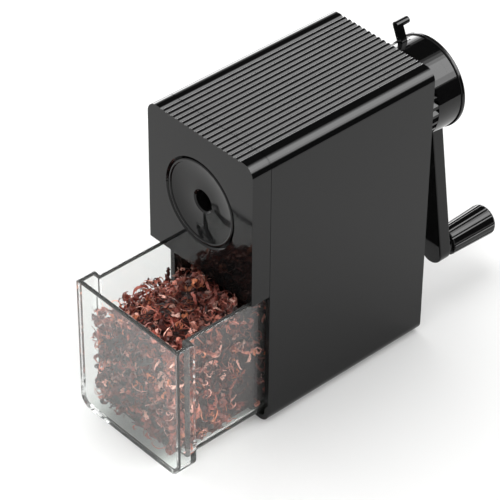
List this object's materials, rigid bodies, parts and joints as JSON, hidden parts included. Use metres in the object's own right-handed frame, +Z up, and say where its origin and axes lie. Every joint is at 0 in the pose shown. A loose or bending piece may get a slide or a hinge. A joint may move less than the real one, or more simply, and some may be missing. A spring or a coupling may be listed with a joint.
{
  "type": "pencil sharpener",
  "caption": "Desk pencil sharpener with a hand crank, a helical cutter behind a round entry dish, a point-length lever and a clear pull-out drawer.",
  "frame": {"origin": "on the surface the sharpener stands on, below the middle of the body without drawer and crank", "axes": "+Z up, -Y to the front where the pencil goes in, +Y to the crank, +X right seen from the front"},
  "size_m": [0.058, 0.1843, 0.1288],
  "materials": {
    "gloss_black": "polished black moulded plastic",
    "clear_drawer": "clear polished styrene",
    "frame_plastic": "fine satin moulding",
    "gear_plastic": "natural acetal",
    "steel": "turned steel",
    "cutter_steel": "ground tool steel",
    "cast_carrier": "die-cast zinc",
    "bush_brass": "sintered bronze",
    "pad_rubber": "matt rubber"
  },
  "bodies": {
    "housing": {"shell": "gloss_black", "front_bezel": "gloss_black", "entry_dish": "gloss_black", "front_bush": "bush_brass", "inner_frame": "frame_plastic", "ring_gear": "gear_plastic", "lock_collar": "gloss_black", "rear_bush": "bush_brass", "bezel_screws": "steel", "frame_screws": "steel", "base_pad": "pad_rubber"},
    "drawer": {"drawer_bin": "clear_drawer"},
    "crank": {"crank_drum": "gloss_black", "crank_arm": "gloss_black", "crank_screws": "steel", "drive_shaft": "steel", "drive_pins": "steel", "shaft_clip": "steel", "cutter_carrier": "cast_carrier", "cutter_axle": "steel", "handle_pin": "steel", "return_spring": "steel"},
    "cutter": {"helical_cutter": "cutter_steel", "cutter_pinion": "cutter_steel"},
    "handle": {"handle_grip": "gloss_black", "handle_cap": "gloss_black"},
    "selector": {"selector_ring": "frame_plastic", "selector_lever": "gloss_black"},
    "point_stop": {"stop_slider": "frame_plastic", "slider_pins": "steel", "stop_pin": "steel"}
  },
  "joints": [
    {"name": "drawer_slide", "type": "slide", "parent": "housing", "child": "drawer", "axis": [0, -1, 0], "range_m": [-0.03685, 0.036]},
    {"name": "crank_turn", "type": "hinge", "parent": "housing", "child": "crank", "pos_m": [0, 0, 0.097], "axis": [0, 1, 0], "continuous": true},
    {"name": "cutter_spin", "type": "hinge", "parent": "crank", "child": "cutter", "pos_m": [0, 0.03986, 0.097], "axis": [0, 0.9816, -0.1908], "continuous": true},
    {"name": "handle_spin", "type": "hinge", "parent": "crank", "child": "handle", "pos_m": [0.01137, 0.08, 0.02004], "axis": [0, 1, 0], "continuous": true},
    {"name": "selector_turn", "type": "hinge", "parent": "crank", "child": "selector", "pos_m": [0, 0.06, 0.097], "axis": [0, -1, 0], "range_deg": [0, 45]},
    {"name": "stop_slide", "type": "slide", "parent": "crank", "child": "point_stop", "axis": [0, -1, 0], "range_m": [0, 0.0015], "deforming": ["return_spring"]}
  ],
  "couplings": [
    {"joint": "cutter_spin", "follows": "crank_turn", "ratio": -3},
    {"joint": "stop_slide", "follows": "selector_turn", "m_per_rad": 0.0019099}
  ]
}
